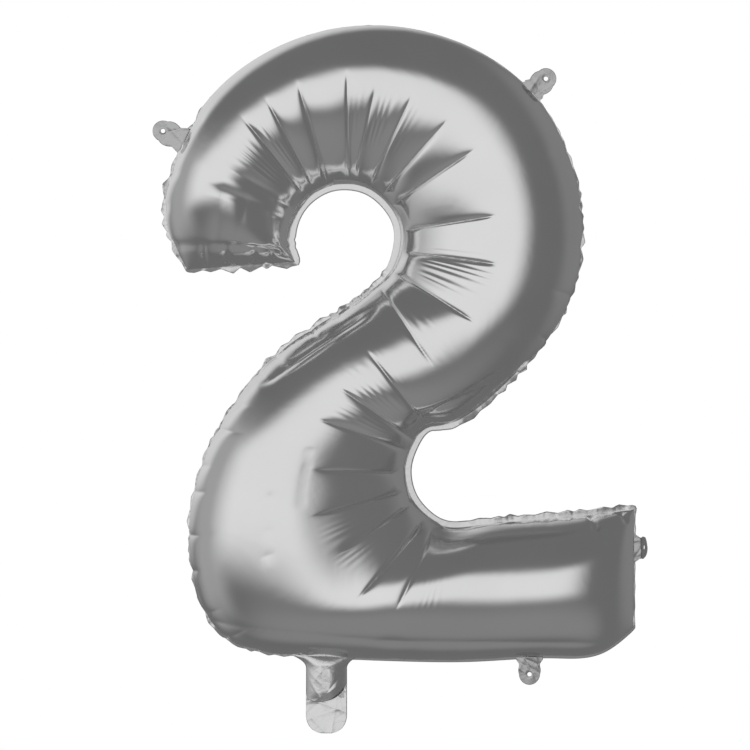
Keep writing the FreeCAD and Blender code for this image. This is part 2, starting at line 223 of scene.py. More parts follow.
def smooth_panel(places, angles):
    """The front panel blown up smoothly, as a grid of rows along the tube and columns across it."""
    left = left_rail(places)
    right = right_rail(places)
    from_end = np.minimum(np.minimum(places, TUBE_LENGTH - places), SWELL)
    fullness = np.sqrt(1 - (1 - from_end / SWELL) ** END_ROUNDNESS)
    depth = HALF_DEPTH * depth_rail(places)[:, 0] * fullness
    skew = crown_skew(places)[:, None]
    column = angles / math.pi
    warped = np.where(skew > 0, column ** (1 + np.abs(skew)), 1 - (1 - column) ** (1 + np.abs(skew)))
    middle = (left + right) / 2
    half = (right - left) / 2
    x = middle[:, None, 0] - half[:, None, 0] * np.cos(angles)
    z = middle[:, None, 1] - half[:, None, 1] * np.cos(angles)
    y = -depth[:, None] * np.sin(math.pi * warped)
    return np.stack([x, y, z], -1)


def surface_normals(points):
    along = np.gradient(points, axis=0)
    across = np.gradient(points, axis=1)
    normal = np.cross(along, across)
    normal /= np.maximum(np.linalg.norm(normal, axis=-1, keepdims=True), 1e-12)
    normal[normal[..., 1] > 0] *= -1
    return normal


def shared_rim_mesh(front, back):
    """One closed skin: the front grid and the back grid share their rim."""
    rows, columns = front.shape[:2]
    front_ids = np.arange(rows * columns).reshape(rows, columns)
    back_ids = front_ids.copy()
    inner = np.zeros((rows, columns), bool)
    inner[1:-1, 1:-1] = True
    back_ids[inner] = rows * columns + np.arange(inner.sum())
    vertices = np.concatenate([front.reshape(-1, 3), back[inner]])
    faces = np.concatenate([grid_faces(front_ids, flip=True), grid_faces(back_ids)])
    return vertices, faces, front_ids, back_ids


SIM_SCALE = 4.0            # the cloth is settled this many times larger than life
SIM_FRAMES = 12
SPARE_FOIL = 0.035         # how much larger the foil was cut than the smooth blown form


def settle(vertices, faces, rim):
    """Blows up foil that was cut a little too large while its rim is held, and returns the points."""
    skin = new_mesh_object("settling_skin", vertices * SIM_SCALE, faces)
    held = skin.vertex_groups.new(name="rim")
    held.add([int(i) for i in rim], 1.0, "REPLACE")
    cloth = skin.modifiers.new("Cloth", "CLOTH")
    settings = cloth.settings
    settings.quality = 5
    settings.mass = 0.1
    settings.tension_stiffness = 40
    settings.compression_stiffness = 40
    settings.shear_stiffness = 20
    settings.bending_stiffness = 0.6
    settings.tension_damping = 5
    settings.compression_damping = 5
    settings.shear_damping = 5
    settings.air_damping = 1
    settings.shrink_min = -SPARE_FOIL
    settings.use_pressure = True
    settings.uniform_pressure_force = 10
    settings.vertex_group_mass = "rim"
    settings.pin_stiffness = 1.0
    settings.effector_weights.gravity = 0
    cloth.collision_settings.use_collision = False
    cloth.point_cache.frame_end = SIM_FRAMES
    scene = bpy.context.scene
    scene.frame_start = 1
    scene.frame_end = SIM_FRAMES
    for number in range(1, SIM_FRAMES + 1):
        scene.frame_set(number)
    settled = skin.evaluated_get(bpy.context.evaluated_depsgraph_get())
    points = np.empty(len(settled.data.vertices) * 3)
    settled.data.vertices.foreach_get("co", points)
    scene.frame_set(1)
    bpy.data.objects.remove(skin)
    return points.reshape(-1, 3) / SIM_SCALE


PLACE = row_places(ROWS)
ANGLE = np.linspace(0, math.pi, COLUMNS)
SMOOTH = smooth_panel(PLACE, ANGLE)
ROW, COLUMN = np.meshgrid(PLACE, ANGLE / math.pi, indexing="ij")
CALM_LENGTH = 0.16       # near the closed ends the settled folds fade out over this length
FOLD_SHARE = 0.55        # how much of the settled folds is kept
FOLD_LIMIT = 0.006       # no settled fold moves the foil further than this


def settled_folds():
    """How far the foil settles away from its smooth form, front and back, on the fine grid."""
    places = row_places(SIM_ROWS)
    angles = np.linspace(0, math.pi, SIM_COLUMNS)
    smooth = smooth_panel(places, angles)
    mirrored = smooth * np.array([1, -1, 1])
    vertices, faces, front_ids, back_ids = shared_rim_mesh(smooth, mirrored)
    rim = np.unique(np.concatenate([front_ids[0], front_ids[-1], front_ids[:, 0], front_ids[:, -1]]))
    points = settle(vertices, faces, rim)
    calm = smoothstep(0, CALM_LENGTH, np.minimum(PLACE, TUBE_LENGTH - PLACE))[:, None, None]
    folds = []
    for ids, start in ((front_ids, smooth), (back_ids, mirrored)):
        moved = points[ids] - start
        reach = np.linalg.norm(moved, axis=-1, keepdims=True)
        moved *= FOLD_SHARE * np.tanh(reach / FOLD_LIMIT) * FOLD_LIMIT / np.maximum(reach, 1e-9)
        by_row = natural_spline(places, moved.reshape(SIM_ROWS, -1))(PLACE)
        by_row = by_row.reshape(ROWS, SIM_COLUMNS, 3).transpose(1, 0, 2).reshape(SIM_COLUMNS, -1)
        fine = natural_spline(angles, by_row)(ANGLE).reshape(COLUMNS, ROWS, 3).transpose(1, 0, 2)
        folds.append(fine * calm)
    return folds


# ------------------------------------------------------------------ creases

X = SMOOTH[..., 0]
Z = SMOOTH[..., 2]

CREASE_WIDTH = 0.0012      # the steep flank of a sharp crease
WIDE_FLANK = 2.0           # the other flank is this many times wider
CREASE_DEPTH = 0.0026
PROUD = 0.0026             # how far the foil stands out between creases that are USUAL_GAP apart
USUAL_GAP = 20             # degrees
WIDEST_GAP = 60            # neighbouring creases further apart than this have no swelling between them
TURN = 6.28                # a random phase is drawn up to one turn


def groove(start, end, depth, width, steep=1.0):
    """A sharp valley along a straight line seen from the front, with one flank wider than the other."""
    run = end - start
    length = np.linalg.norm(run)
    run = run / length
    share = ((X - start[0]) * run[0] + (Z - start[1]) * run[1]) / length
    off = (X - start[0]) * run[1] - (Z - start[1]) * run[0]
    spread = np.where(off * steep > 0, width, width * WIDE_FLANK)
    return -depth * between(share, -0.03, 0.10, 0.80, 1.03) * np.exp(-np.abs(off) / spread)


def about(centre):
    """Distance and direction in degrees of every grid point from the middle of a bay."""
    across, up = X - centre[0], Z - centre[1]
    return np.hypot(across, up), np.degrees(np.arctan2(up, across)) % 360


def swollen_between(centre, angles, inner, outer, height):
    """The foil stands proud between neighbouring creases of a fan."""
    radius, angle = about(centre)
    field = np.zeros_like(X)
    ordered = sorted(direction % 360 for direction in angles)
    for low, high in zip(ordered, ordered[1:]):
        if high - low > WIDEST_GAP:
            continue
        share = np.clip((angle - low) / (high - low), 0, 1)
        field += height * (high - low) / USUAL_GAP * np.sin(math.pi * share) ** 0.8
    return field * between(radius, inner, inner + 0.015, outer * 0.72, outer * 1.05)


def fan(random, centre, angles, inner, outer, depth, swell):
    """Creases that radiate from the middle of a bay, with the foil swollen between them."""
    field = swollen_between(centre, angles, inner, outer, swell)
    for degrees in angles:
        lean = random.uniform(-2.5, 2.5)
        start = on_circle(centre, inner * random.uniform(0.98, 1.12), degrees + lean)
        end = on_circle(centre, outer * random.uniform(0.94, 1.04), degrees)
        steep = random.choice([-1.0, 1.0])
        field += groove(start, end, depth * random.uniform(0.7, 1.15), CREASE_WIDTH, steep)
    return field


def pleats(random, centre, low, high, inner, outer, pitch, depth):
    """Fine close wrinkles in patches, radiating from the middle of a bay."""
    radius, angle = about(centre)
    if high > 360:
        angle = np.where(angle < low - 20, angle + 360, angle)
    reach = between(radius, inner, inner + 0.02, outer - 0.02, outer)
    reach *= between(angle, low - 4, low + 4, high - 4, high + 4)
    patch = np.zeros_like(X)
    for step in range(4):
        patch += np.cos(np.radians(angle) * random.uniform(3, 11) + random.uniform(0, TURN))
    turn = np.radians(angle) * (outer + inner) / 2 / pitch * 2 * math.pi
    ripple = np.sin(turn + 1.5 * np.sin(turn * 0.23) + random.uniform(0, TURN))
    return depth * ripple * reach * smoothstep(-0.3, 1.6, patch)


TUCK_WIDTH = 0.0038
TUCK_DEPTH = 0.0022


def tuck(place, reach, left):
    """A short pinch in the foil that starts at the rim and reaches a share of the way across."""
    column = COLUMN if left else 1 - COLUMN
    away = np.abs(ROW - place) / TUCK_WIDTH
    return -TUCK_DEPTH * np.exp(-away) * (1 - smoothstep(reach * 0.4, reach, column))


def tuck_places(random, low, high, gap_low, gap_high):
    places = []
    place = low + random.uniform(0, gap_low)
    while place < high:
        places.append(place)
        place += random.uniform(gap_low, gap_high)
    return places


TUCK_RANDOM = np.random.default_rng(4)
LEFT_TUCKS = tuck_places(TUCK_RANDOM, 0.80, 1.24, 0.020, 0.040)
RIGHT_TUCKS = tuck_places(TUCK_RANDOM, 0.02, 0.16, 0.022, 0.036)
RIGHT_TUCKS += tuck_places(TUCK_RANDOM, 0.50, 0.72, 0.030, 0.055)
LEFT_TUCKS += [0.035, 0.052]

# The hook's closed end is pinched into pillows, with one shallow fold across them.
END_TUCK_SHARES = (0.20, 0.36, 0.62, 0.83)      # along the closed end, from its inner corner
END_TUCK_DEPTH = 0.0052
END_TUCK_WIDTH = 0.0030
END_FOLD_DEPTH = 0.0026
END_FOLD_PLACE = 0.025
END_FOLD_WIDTH = 0.0045
HOOK_CORNER = left_rail(0.004)[0]
HOOK_END_LEFT = left_rail(0.0)[0]
HOOK_END_RIGHT = right_rail(0.0)[0]

# Directions of the creases round each bay, in degrees from +X towards +Z.
HOOK_FAN = (160, 151, 131, 120, 107, 89, 78, 64, 48, 33, 7, 349, 326, 304)
FOOT_FAN = (128, 145, 159, 178, 195, 212, 229, 243)
CORNER_FAN = (112, 124, 137, 150)

FANS = [
    # centre, directions, inner and outer radius, crease depth, swelling between creases
    (EYE_CENTRE, HOOK_FAN, 0.078, 0.205, CREASE_DEPTH, PROUD),
    (FOOT_CENTRE, FOOT_FAN, 0.078, 0.202, CREASE_DEPTH, PROUD),
    (HOOK_CORNER, CORNER_FAN, 0.010, 0.040, CREASE_DEPTH / 2, 0.0),
]
PLEAT_PATCHES = [
    # centre, first and last direction, inner and outer radius, pitch, depth
    (EYE_CENTRE, 100, 165, 0.105, 0.190, 0.0075, 0.00018),
    (EYE_CENTRE, 20, 100, 0.120, 0.205, 0.0080, 0.00015),
    (EYE_CENTRE, 300, 372, 0.105, 0.215, 0.0085, 0.00020),
    (FOOT_CENTRE, 118, 258, 0.110, 0.205, 0.0080, 0.00018),
]
LONG_FOLDS = [
    # start, end, depth and width: folds down the wide part, along the bottom and the diagonal, by the
    # bowl's heel, on the hook's shoulder and at the bar's upper rim
    (spot(-0.366, -0.545), spot(-0.368, -0.645), 0.0012, 0.0022),
    (spot(-0.313, -0.490), spot(-0.326, -0.575), 0.0008, 0.0020),
    (spot(-0.460, -0.722), spot(-0.180, -0.750), 0.0030, 0.0060),
    (spot(-0.230, -0.748), spot(0.085, -0.752), 0.0034, 0.0060),
    (spot(-0.380, -0.410), spot(-0.225, -0.305), 0.0045, 0.0070),
    (spot(-0.190, -0.462), spot(-0.050, -0.395), 0.0035, 0.0060),
    (spot(-0.395, -0.160), spot(-0.415, -0.240), 0.0016, 0.0060),
    (spot(-0.425, -0.150), spot(-0.440, -0.235), 0.0014, 0.0070),
    (spot(0.058, -0.583), spot(0.063, -0.612), 0.0040, 0.0025),
    (spot(0.098, -0.578), spot(0.106, -0.594), 0.0034, 0.0022),
]


def hook_end_pillows():
    field = np.zeros_like(X)
    edge = HOOK_END_RIGHT[0] - HOOK_END_LEFT[0]
    near_end = (1 - smoothstep(0.008, 0.036, ROW)) * smoothstep(0, 0.002, ROW)
    for share in END_TUCK_SHARES:
        away = np.abs(X - HOOK_END_LEFT[0] - edge * share) / END_TUCK_WIDTH
        field -= END_TUCK_DEPTH * np.exp(-away) * near_end
    across = smoothstep(0.12, 0.3, COLUMN) * smoothstep(0.02, 0.12, 1 - COLUMN)
    return field - END_FOLD_DEPTH * np.exp(-((ROW - END_FOLD_PLACE) / END_FOLD_WIDTH) ** 2) * across


def crease_field(side):
    """How far every grid point of a panel moves outwards; creases and tucks are negative."""
    random = np.random.default_rng(5 if side == FRONT else 23)
    field = np.zeros_like(X)
    for centre, angles, inner, outer, depth, swell in FANS:
        field += fan(random, centre, angles, inner, outer, depth, swell)
    for patch in PLEAT_PATCHES:
        field += pleats(random, *patch)
    for start, end, depth, width in LONG_FOLDS:
        field += groove(start, end, depth * random.uniform(0.85, 1.15), width, random.choice([-1.0, 1.0]))
    rim_pinches = np.zeros_like(X)
    for places, left in ((LEFT_TUCKS, True), (RIGHT_TUCKS, False)):
        for number, place in enumerate(places):
            rim_pinches += tuck(place, 0.16 + 0.05 * (number % 3), left)
    inside = smoothstep(0.0, 0.05, np.minimum(COLUMN, 1 - COLUMN))
    inside *= smoothstep(0.0, 0.006, np.minimum(ROW, TUBE_LENGTH - ROW))
    return field * inside + hook_end_pillows() + rim_pinches


def blown_panel(side, folds):
    form = SMOOTH * np.array([1, side * FRONT, 1])
    normals = surface_normals(SMOOTH) * np.array([1, side * FRONT, 1])
    points = form + folds + normals * crease_field(side)[..., None]
    rim = np.ones(points.shape[:2], bool)
    rim[1:-1, 1:-1] = False
    points[rim, 1] = 0
    return points


def panel_piece(name, points, side):
    ids = np.arange(points.shape[0] * points.shape[1]).reshape(points.shape[:2])
    return new_mesh_object(name, points.reshape(-1, 3), grid_faces(ids, side == FRONT))


# ------------------------------------------------------------------ materials


def new_material(name):
    material = bpy.data.materials.new(name)
    material.use_nodes = True
    tree = material.node_tree
    return material, tree, tree.nodes["Principled BSDF"]


def noise(tree, place, scale, detail, distortion=0.0):
    texture = tree.nodes.new("ShaderNodeTexNoise")
    texture.inputs["Scale"].default_value = scale
    texture.inputs["Detail"].default_value = detail
    texture.inputs["Distortion"].default_value = distortion
    tree.links.new(place.outputs["Object"], texture.inputs["Vector"])
    return texture.outputs["Fac"]


def foil_material(name, tint, rough, mottle_scale, bump_scale, bump_height):
    """Metallised film: a faint mottle in its tint and gloss, and a very fine ripple."""
    material, tree, shader = new_material(name)
    shader.inputs["Metallic"].default_value = 1.0
    nodes, links = tree.nodes, tree.links
    place = nodes.new("ShaderNodeTexCoord")
    mottle = noise(tree, place, mottle_scale, 4.0)
    tone = nodes.new("ShaderNodeValToRGB")
    tone.color_ramp.elements[0].position = 0.35
    tone.color_ramp.elements[0].color = tuple(c * 0.94 for c in tint) + (1,)
    tone.color_ramp.elements[1].position = 0.7
    tone.color_ramp.elements[1].color = tint + (1,)
    links.new(mottle, tone.inputs["Fac"])
    links.new(tone.outputs["Color"], shader.inputs["Base Color"])
    haze = nodes.new("ShaderNodeMapRange")
    haze.inputs["To Min"].default_value = rough[0]
    haze.inputs["To Max"].default_value = rough[1]
    links.new(mottle, haze.inputs["Value"])
    links.new(haze.outputs["Result"], shader.inputs["Roughness"])
    bump = nodes.new("ShaderNodeBump")
    bump.inputs["Strength"].default_value = 0.35
    bump.inputs["Distance"].default_value = bump_height
    links.new(noise(tree, place, bump_scale, 3.0, 0.6), bump.inputs["Height"])
    links.new(bump.outputs["Normal"], shader.inputs["Normal"])
    return material


def film_material(name, low, high):
    """Clear, slightly milky polyethylene film between two grey levels."""
    material, tree, shader = new_material(name)
    nodes, links = tree.nodes, tree.links
    place = nodes.new("ShaderNodeTexCoord")
    cloud = noise(tree, place, 40.0, 3.0)
    tone = nodes.new("ShaderNodeValToRGB")
    tone.color_ramp.elements[0].color = (low, low, low * 1.03, 1)
    tone.color_ramp.elements[1].color = (high, high, high * 1.02, 1)
    links.new(cloud, tone.inputs["Fac"])
    links.new(tone.outputs["Color"], shader.inputs["Base Color"])
    haze = nodes.new("ShaderNodeMapRange")
    haze.inputs["To Min"].default_value = 0.25
    haze.inputs["To Max"].default_value = 0.45
    links.new(cloud, haze.inputs["Value"])
    links.new(haze.outputs["Result"], shader.inputs["Roughness"])
    shader.inputs["Transmission Weight"].default_value = 0.5
    return material


def floor_material():
    material, tree, shader = new_material("studio_floor")
    place = tree.nodes.new("ShaderNodeTexCoord")
    tone = tree.nodes.new("ShaderNodeValToRGB")
    tone.color_ramp.elements[0].color = (0.80, 0.80, 0.80, 1)
    tone.color_ramp.elements[1].color = (0.84, 0.84, 0.84, 1)
    tree.links.new(noise(tree, place, 3.0, 2.0), tone.inputs["Fac"])
    tree.links.new(tone.outputs["Color"], shader.inputs["Base Color"])
    shader.inputs["Roughness"].default_value = 0.9
    return material


SILVER = foil_material("silver_foil", (0.87, 0.87, 0.875), (0.13, 0.21), 6.0, 14.0, 0.0010)
# painted shade: the tabs are the same foil as the body, given a much darker tint so that they read as shaded
SHADED_TAB_FOIL = foil_material("tab_foil_painted_shade", (0.58, 0.58, 0.585), (0.20, 0.34), 60.0, 200.0, 0.0008)
RIM_FOIL = foil_material("welded_rim_foil", (0.90, 0.90, 0.90), (0.24, 0.36), 30.0, 260.0, 0.0006)
NECK_FOIL = foil_material("neck_foil", (0.88, 0.88, 0.885), (0.20, 0.34), 40.0, 120.0, 0.0010)
FILM = film_material("valve_film", 0.72, 0.90)
# painted shade: the front mouth film is a dark copy of the clear valve film, standing for the shade inside the
# mouth
SHADED_MOUTH_FILM = film_material("mouth_film_painted_shade", 0.10, 0.24)         # darker, for the shade inside the mouth

# ------------------------------------------------------------------ panels

front_folds, back_folds = settled_folds()
front_grid = blown_panel(FRONT, front_folds)
back_grid = blown_panel(BACK, back_folds)
front_foil = panel_piece("front_foil", front_grid, FRONT)
back_foil = panel_piece("back_foil", back_grid, BACK)

# ------------------------------------------------------------------ the welded rim

RIM_STEP = 0.0022          # spacing of points along the seam
RIM_COLUMNS = 6
HIDDEN = 0.0015            # the rim starts this far inside the tube
LAYER = 0.0003             # thickness of a thin sheet
FLAP_LENGTHS = (0.013, 0.034)      # shortest and longest flap between two pinches of the rim
FULL_FLAP = 0.005          # a rim whose flap is this high is fully crumpled
FLAP_SWAY = 0.0042         # how far a crumpled flap leans out of the seam plane
RIM_RIPPLE = 0.0005


def seam_loop(panel):
    """The seam as one closed line in the seam plane."""
    loop = np.concatenate([panel[:-1, 0], panel[-1, :-1], panel[:0:-1, -1], panel[0, :0:-1]])
    return loop[:, [0, 2]]


def even_loop(loop, reference):
    """The loop at even steps along the reference loop, which has the same points."""
    closed = np.vstack([reference, reference[:1]])
    lengths = np.concatenate([[0], np.cumsum(np.linalg.norm(np.diff(closed, axis=0), axis=1))])
    count = int(lengths[-1] / RIM_STEP)
    at = np.linspace(0, lengths[-1], count, endpoint=False)
    closed = np.vstack([loop, loop[:1]])
    return np.stack([np.interp(at, lengths, closed[:, axis]) for axis in (0, 1)], -1), at


def ring_smooth(values, reach):
    window = np.hanning(2 * reach + 1)
    window /= window.sum()
    padded = np.concatenate([values[-reach:], values, values[:reach]])
    if values.ndim == 1:
        return np.convolve(padded, window, mode="valid")
    return np.stack([np.convolve(padded[:, axis], window, mode="valid") for axis in (0, 1)], -1)


def seam_directions(loop):
    """Outward direction at each point of the seam."""
    along = np.roll(loop, -1, axis=0) - np.roll(loop, 1, axis=0)
    along = ring_smooth(along / np.linalg.norm(along, axis=1, keepdims=True), 4)
    along /= np.linalg.norm(along, axis=1, keepdims=True)
    following = np.roll(loop, -1, axis=0)
    area = (loop[:, 0] * following[:, 1] - following[:, 0] * loop[:, 1]).sum() / 2
    return np.stack([along[:, 1], -along[:, 0]], -1) * math.copysign(1.0, area)


# Profiles along the rim, as (place along the tube, value) for the left rail and the right rail,
# and one value for the bar's end and the hook's end. The rim lies flat and wide in the bays, is
# pinched into flaps where the blown tube pulls it in, and folds under along the bottom.

RIM_PLAIN = (              # width of the flat rim
    [(0, 0.0085), (0.62, 0.0085), (0.72, 0.006), (0.80, 0.003), (1.20, 0.002), (1.30, 0.0035), (1.50, 0.004)],
    [(0, 0.002), (0.18, 0.0015), (0.60, 0.0012), (0.74, 0.003), (0.84, 0.008), (1.22, 0.0085), (1.58, 0.006)],
    0.002,
    0.002,
)
RIM_FLAP = (               # height of a full flap beyond it
    [(0, 0), (0.66, 0), (0.72, 0.004), (0.80, 0.006), (0.95, 0.0045), (1.20, 0.003), (1.30, 0)],
    [(0, 0.006), (0.15, 0.006), (0.20, 0.001), (0.45, 0), (0.62, 0.0045), (0.78, 0.006), (0.87, 0),
     (1.25, 0), (1.34, 0.004), (1.58, 0.006)],
    0.001,
    0.0075,
)
RIM_TILT = (               # how far the rim turns backwards, as a share of its width
    [(0, 0), (1.22, 0), (1.32, 0.5), (1.58, 0.5)],
    [(0, 0), (1.58, 0)],
    0.3,
    0.2,
)


def even_profile(profile, at, reference):
    left, right, bar_end, hook_end = profile
    left = np.interp(PLACE, *zip(*left))
    right = np.interp(PLACE, *zip(*right))
    bar = np.full(COLUMNS - 1, bar_end)
    hook = np.full(COLUMNS - 1, hook_end)
    values = np.concatenate([left[:-1], bar, right[:0:-1], hook, left[:1]])
    closed = np.vstack([reference, reference[:1]])
    lengths = np.concatenate([[0], np.cumsum(np.linalg.norm(np.diff(closed, axis=0), axis=1))])
    return ring_smooth(np.interp(at, lengths, values), 4)


def flap_shares(at, random, total):
    """Splits the seam into flaps between pinches: share along each flap, and one number per flap."""
    stops = [0.0]
    while stops[-1] < total - 0.03:
        stops.append(stops[-1] + random.uniform(*FLAP_LENGTHS))
    stops[-1] = total + 1e-6
    stops = np.array(stops)
    number = np.clip(np.searchsorted(stops, at, side="right") - 1, 0, len(stops) - 2)
    share = (at - stops[number]) / (stops[number + 1] - stops[number])
    return share, number, len(stops)


def rim_piece():
    smooth_loop = seam_loop(SMOOTH)
    loop, at = even_loop(seam_loop(front_grid), smooth_loop)
    outwards = seam_directions(even_loop(smooth_loop, smooth_loop)[0])
    random = np.random.default_rng(31)
    share, number, count = flap_shares(at, random, at[-1] + RIM_STEP)
    peak = random.uniform(0.3, 0.7, count)[number]
    height = random.uniform(0.3, 1.0, count)[number]
    lean = random.uniform(-1.0, 1.0, count)[number]
    ridge = np.where(share < peak, share / peak, (1 - share) / (1 - peak))
    plain = even_profile(RIM_PLAIN, at, smooth_loop)
    flap = even_profile(RIM_FLAP, at, smooth_loop)
    tilt = even_profile(RIM_TILT, at, smooth_loop)
    width = ring_smooth(plain + flap * height * ridge, 1)
    crumple = np.clip(flap / FULL_FLAP, 0, 1.4)
    sway = crumple * lean * FLAP_SWAY * np.sin(math.pi * share) + tilt * width
    ripple = RIM_RIPPLE * np.sin(at * 700 + 2 * np.sin(at * 170)) * (0.15 + crumple)
    columns = np.linspace(0, 1, RIM_COLUMNS)
    reach = -HIDDEN + (width[:, None] + HIDDEN) * columns
    x = loop[:, None, 0] + outwards[:, None, 0] * reach
    z = loop[:, None, 1] + outwards[:, None, 1] * reach
    y = (sway + ripple)[:, None] * columns ** 1.4
    points = np.stack([x, y, z], -1).reshape(-1, 3)
    ids = np.arange(len(loop) * RIM_COLUMNS).reshape(len(loop), RIM_COLUMNS)
    ids = np.vstack([ids, ids[:1]])
    piece = new_mesh_object("welded_rim", points, grid_faces(ids))
    thicken(piece, LAYER)
    return piece


def thicken(piece, thickness):
    solid = piece.modifiers.new("Layer", "SOLIDIFY")
    solid.thickness = thickness
    solid.offset = 0.0
    bake_modifiers(piece)


def bake_modifiers(piece):
    depsgraph = bpy.context.evaluated_depsgraph_get()
    final = bpy.data.meshes.new_from_object(piece.evaluated_get(depsgraph))
    piece.modifiers.clear()
    old = piece.data
    piece.data = final
    final.name = piece.name
    bpy.data.meshes.remove(old)


welded_rim = rim_piece()

# ------------------------------------------------------------------ crinkles


def crinkle(random, u, v, reach, count, depth, width):
    """Sharp straight folds in random directions over a small sheet."""
    field = np.zeros_like(u)
    for step in range(count):
        angle = random.uniform(0, math.pi)
        across = (u - random.uniform(-reach, reach)) * math.cos(angle)
        across = across + (v - random.uniform(-reach, reach)) * math.sin(angle)
        field += depth * random.uniform(-1, 1) * np.exp(-np.abs(across) / (width * random.uniform(0.5, 1.6)))
    return field


# ------------------------------------------------------------------ hanging tabs

TAB_RADIUS = 0.014
TAB_LAYER = 0.0006
TAB_RINGS = 16
TAB_ANGLES = 144
TAB_ROOT = 0.0115          # the tab's root runs this far behind its fold, under the rim
FLARE_RUN = 0.009          # the root widens over this length, by this much on each side
FLARE_SPREAD = 0.005
SEAM_NORMAL = np.array([0.0, 1.0, 0.0])


def tab_outline(reach):
    """The tab's edge about its hole: a round end, straight sides and a root that flares into the rim."""
    end = [(TAB_RADIUS * math.cos(a), TAB_RADIUS * math.sin(a)) for a in np.linspace(0, math.pi / 2, 30)]
    flare = np.linspace(0, math.pi / 2, 14)
    root = [(-reach + 0.001 - FLARE_RUN * math.sin(a), TAB_RADIUS + FLARE_SPREAD * (1 - math.cos(a)))
            for a in flare]
    base = [(-reach - TAB_ROOT, offset) for offset in np.linspace(TAB_RADIUS + FLARE_SPREAD, 0, 24)]
    side = end + root + base
    angles = np.array([math.atan2(v, u) for u, v in side])
    radii = np.array([math.hypot(u, v) for u, v in side])
    order = np.argsort(angles)
    spread = np.abs(np.linspace(-math.pi, math.pi, TAB_ANGLES, endpoint=False))
    return np.interp(spread, angles[order], radii[order])


def tab_piece(name, joint_name, mount_name, node, seed):
    joint = joints[joint_name]
    mount = mounts[mount_name]
    fold = np.array(joint["pos_m"])
    axis = np.array(joint["axis"])
    outwards = np.cross(SEAM_NORMAL, axis)
    to_hole = np.array(mount["pos_m"]) - fold
    reach = np.linalg.norm(to_hole)
    stored = math.atan2(to_hole @ SEAM_NORMAL, to_hole @ outwards)
    hole = mount["dims"]["r_mm"] * MM
    random = np.random.default_rng(seed)
    angles = np.linspace(-math.pi, math.pi, TAB_ANGLES, endpoint=False)[:, None]
    share = np.linspace(0, 1, TAB_RINGS)[None, :]
    radius = hole + (tab_outline(reach)[:, None] - hole) * share
    u = reach + radius * np.cos(angles)
    v = radius * np.sin(angles)
    away = smoothstep(hole, hole * 2.2, radius)
    calmer = 1 - 0.6 * smoothstep(0, reach, u)
    bulge = crinkle(random, u - reach / 2, v, TAB_RADIUS, 6, 0.0009, 0.0026) * away * calmer
    bulge += 0.0005 * np.sin(v * 200 + seed) * away
    turned = stored * smoothstep(-0.0012, 0.0012, u)
    beyond = np.maximum(u, 0)
    out = np.minimum(u, 0) + beyond * np.cos(turned) - bulge * np.sin(turned)
    lift = beyond * np.sin(turned) + bulge * np.cos(turned)
    points = fold + out[..., None] * outwards + lift[..., None] * SEAM_NORMAL + v[..., None] * axis
    ids = np.arange(points.shape[0] * TAB_RINGS).reshape(-1, TAB_RINGS)
    piece = new_mesh_object(name, points.reshape(-1, 3), grid_faces(np.vstack([ids, ids[:1]])))
    thicken(piece, TAB_LAYER)
    # the tabs wear the darker foil, which is painted shade
    piece.data.materials.append(SHADED_TAB_FOIL)
    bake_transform(piece)
    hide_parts(node)


for number, place in enumerate(("top_right", "top_left", "bottom", "right_end")):
    tab_piece("tab_foil_painted_shade_" + place, place + "_tab_bend", "hanging_hole_" + place,
              "hanging_tab_" + place, number + 3)

# ------------------------------------------------------------------ filling neck

NECK_X = NECK_FOLD[0]
NECK_HALF = (NECK_HIGH[0] - NECK_LOW[0]) / 2
ROOT_GAP = 0.0026
SEAM_Z = NECK_FOLD[2] + FLANGE + ROOT_GAP      # the seam above the neck
NECK_TOP = SEAM_Z + 0.003                      # both foils start hidden in the tube
NECK_BEND = 0.004          # the neck bends over this length on each side of its fold line
NECK_COLUMNS = 46
NECK_ROUND = 2.3           # the neck's end is a little squarer than a half circle
ROUND_ROWS = 0.012         # over this length at the end the rows lie closer together
NECK_FLARE = 0.016
TAIL_CURL = 0.0050         # the free end curls forwards by this much, from TAIL_FROM down
TAIL_FROM = -0.815
LIP_Z = -0.8335            # the front foil ends in a slanted lip: its lowest height, and how much
LIP_RIGHT = 0.023          # higher it is at its right and left edges
LIP_LEFT = 0.003
LIP_LOWEST_AT = -0.35      # where across the neck the lip is lowest, from -1 to 1
MOUTH_DEPTH = 0.0112       # how far the front foil bows out over the valve films


def neck_half_width(z):
    """Half the neck's width: flared where it joins the rim, rounded at its end."""
    flare = NECK_FLARE * np.clip((z - (NECK_FOLD[2] - NECK_BEND)) / NECK_FLARE, 0, 1) ** 2.2
    end = NECK_HALF * 0.95
    below = np.clip((NECK_LOW[2] + end - z) / end, 0, 1)
    return (NECK_HALF + flare) * (1 - below ** NECK_ROUND) ** (1 / NECK_ROUND)


def neck_back_piece():
    random = np.random.default_rng(8)
    rounded = NECK_LOW[2] + ROUND_ROWS * np.cos(np.linspace(0.1, 1.53, 22))
    heights = np.concatenate([np.linspace(NECK_TOP, NECK_LOW[2] + ROUND_ROWS, 80), rounded])
    column = np.linspace(-1, 1, NECK_COLUMNS)
    x = NECK_X + neck_half_width(heights)[:, None] * column
    z = heights[:, None] + np.zeros_like(x)
    middle = (SEAM_Z + NECK_LOW[2]) / 2
    folds = crinkle(random, x - NECK_X, z - middle, 0.045, 22, 0.0008, 0.0032)
    folds -= TAIL_CURL * np.clip((TAIL_FROM - z) / 0.06, 0, 1) ** 1.3
    free = smoothstep(SEAM_Z - 0.004, SEAM_Z - 0.020, z)
    y = 0.0012 + folds * free
    ids = np.arange(x.size).reshape(x.shape)
    piece = new_mesh_object("neck_foil_back", np.stack([x, y, z], -1).reshape(-1, 3), grid_faces(ids))
    thicken(piece, LAYER)
    return piece


